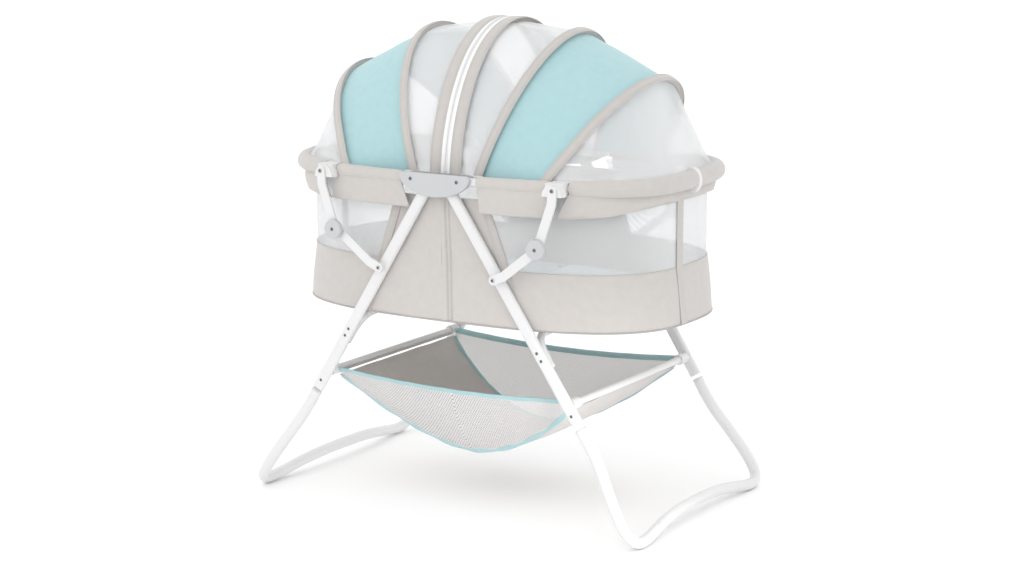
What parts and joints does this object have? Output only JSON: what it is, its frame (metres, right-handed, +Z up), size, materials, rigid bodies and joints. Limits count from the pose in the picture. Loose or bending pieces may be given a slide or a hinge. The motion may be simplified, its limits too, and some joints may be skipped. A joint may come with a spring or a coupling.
{
  "type": "bassinet",
  "caption": "Folding bassinet: an oval fabric tub with net walls and a two-part hooped canopy on a crossed-leg tubular stand with a storage basket.",
  "frame": {"origin": "on the floor under the middle of the tub", "axes": "+X along the tub, +Y across it to the far side, +Z up"},
  "size_m": [0.8864, 0.5596, 0.9488],
  "materials": {
    "white_steel": "white powder coat, semi-gloss",
    "white_plastic": "white moulded plastic, satin",
    "grey_plastic": "light grey moulded plastic, fine texture",
    "grey_fabric": "warm light grey woven polyester",
    "aqua_fabric": "light aqua woven polyester",
    "net_fabric": "white fine mesh netting, see-through",
    "pad_fabric": "pale blue quilted polyester"
  },
  "bodies": {
    "hub": {"hub_cover_near": "grey_plastic", "hub_cover_far": "grey_plastic", "hub_plate_near": "white_steel", "hub_plate_far": "white_steel", "tub_wall_left": "grey_fabric", "tub_wall_right": "grey_fabric", "tub_panel_near": "grey_fabric", "tub_panel_far": "grey_fabric", "tub_floor": "grey_fabric", "mattress_left": "pad_fabric", "mattress_right": "pad_fabric", "basket_sling": "grey_fabric", "basket_net_near": "net_fabric", "basket_net_far": "net_fabric"},
    "rail_left": {"rail_left": "white_steel", "rail_ring_left": "white_plastic", "bow_outer_left": "white_plastic", "canopy_panel_left": "aqua_fabric", "canopy_end_net_left": "net_fabric", "rail_bracket_near_left": "white_plastic", "rail_bracket_far_left": "white_plastic", "canopy_bracket_near_left": "white_plastic", "canopy_bracket_far_left": "white_plastic"},
    "leg_left": {"leg_near_left": "white_steel", "leg_far_left": "white_steel", "foot_frame_left": "white_steel", "cross_tube_left": "white_steel", "basket_bar_left": "white_plastic"},
    "upper_link_left": {"upper_link_near_left": "white_steel", "upper_link_far_left": "white_steel", "knuckle_near_left": "grey_plastic", "knuckle_far_left": "grey_plastic"},
    "lower_link_left": {"lower_link_near_left": "white_steel", "lower_link_far_left": "white_steel"},
    "bow_middle_left": {"bow_middle_left": "white_plastic", "canopy_window_left": "net_fabric"},
    "bow_centre_left": {"bow_centre_left": "white_plastic"},
    "rail_right": {"rail_right": "white_steel", "rail_ring_right": "white_plastic", "bow_outer_right": "white_plastic", "canopy_panel_right": "aqua_fabric", "canopy_end_net_right": "net_fabric", "rail_bracket_near_right": "white_plastic", "rail_bracket_far_right": "white_plastic", "canopy_bracket_near_right": "white_plastic", "canopy_bracket_far_right": "white_plastic"},
    "leg_right": {"leg_near_right": "white_steel", "leg_far_right": "white_steel", "foot_frame_right": "white_steel", "cross_tube_right": "white_steel", "basket_bar_right": "white_plastic"},
    "upper_link_right": {"upper_link_near_right": "white_steel", "upper_link_far_right": "white_steel", "knuckle_near_right": "grey_plastic", "knuckle_far_right": "grey_plastic"},
    "lower_link_right": {"lower_link_near_right": "white_steel", "lower_link_far_right": "white_steel"},
    "bow_middle_right": {"bow_middle_right": "white_plastic", "canopy_window_right": "net_fabric"},
    "bow_centre_right": {"bow_centre_right": "white_plastic"}
  },
  "joints": [
    {"name": "leg_fold_left", "type": "hinge", "parent": "hub", "child": "leg_left", "pos_m": [-0.024, 0, 0.645], "axis": [0, -1, 0], "range_deg": [0, 30], "deforming": ["tub_wall_left", "mattress_left"]},
    {"name": "rail_fold_left", "type": "hinge", "parent": "hub", "child": "rail_left", "pos_m": [-0.052, 0, 0.66], "axis": [0, -1, 0], "range_deg": [0, 80]},
    {"name": "upper_link_fold_left", "type": "hinge", "parent": "rail_left", "child": "upper_link_left", "pos_m": [-0.261, 0, 0.66], "axis": [0, -1, 0], "range_deg": [-92.5, 0]},
    {"name": "lower_link_fold_left", "type": "hinge", "parent": "leg_left", "child": "lower_link_left", "pos_m": [-0.13, 0, 0.4805], "axis": [0, -1, 0], "range_deg": [0, 71.5]},
    {"name": "canopy_fold_left", "type": "hinge", "parent": "rail_left", "child": "bow_centre_left", "pos_m": [-0.02, 0, 0.66], "axis": [0, -1, 0], "range_deg": [0, 52], "deforming": ["canopy_window_left", "canopy_panel_left"]},
    {"name": "middle_bow_fold_left", "type": "hinge", "parent": "rail_left", "child": "bow_middle_left", "pos_m": [-0.06985, 0, 0.66], "axis": [0, -1, 0], "range_deg": [0, 30.4]},
    {"name": "leg_fold_right", "type": "hinge", "parent": "hub", "child": "leg_right", "pos_m": [0.024, 0, 0.645], "axis": [0, 1, 0], "range_deg": [0, 30], "deforming": ["tub_wall_right", "mattress_right", "tub_panel_near", "tub_panel_far", "tub_floor", "basket_sling", "basket_net_near", "basket_net_far"]},
    {"name": "rail_fold_right", "type": "hinge", "parent": "hub", "child": "rail_right", "pos_m": [0.052, 0, 0.66], "axis": [0, 1, 0], "range_deg": [0, 80]},
    {"name": "upper_link_fold_right", "type": "hinge", "parent": "rail_right", "child": "upper_link_right", "pos_m": [0.261, 0, 0.66], "axis": [0, 1, 0], "range_deg": [-92.5, 0]},
    {"name": "lower_link_fold_right", "type": "hinge", "parent": "leg_right", "child": "lower_link_right", "pos_m": [0.13, 0, 0.4805], "axis": [0, 1, 0], "range_deg": [0, 71.5]},
    {"name": "canopy_fold_right", "type": "hinge", "parent": "rail_right", "child": "bow_centre_right", "pos_m": [0.02, 0, 0.66], "axis": [0, 1, 0], "range_deg": [0, 52], "deforming": ["canopy_window_right", "canopy_panel_right"]},
    {"name": "middle_bow_fold_right", "type": "hinge", "parent": "rail_right", "child": "bow_middle_right", "pos_m": [0.06985, 0, 0.66], "axis": [0, 1, 0], "range_deg": [0, 30.4]}
  ],
  "couplings": [
    {"joint": "rail_fold_left", "follows": "leg_fold_left", "ratio": 2.6667},
    {"joint": "upper_link_fold_left", "follows": "leg_fold_left", "ratio": -3.0833},
    {"joint": "lower_link_fold_left", "follows": "leg_fold_left", "ratio": 2.3833},
    {"joint": "middle_bow_fold_left", "follows": "canopy_fold_left", "ratio": 0.58461},
    {"joint": "rail_fold_right", "follows": "leg_fold_right", "ratio": 2.6667},
    {"joint": "upper_link_fold_right", "follows": "leg_fold_right", "ratio": -3.0833},
    {"joint": "lower_link_fold_right", "follows": "leg_fold_right", "ratio": 2.3833},
    {"joint": "middle_bow_fold_right", "follows": "canopy_fold_right", "ratio": 0.58461}
  ]
}
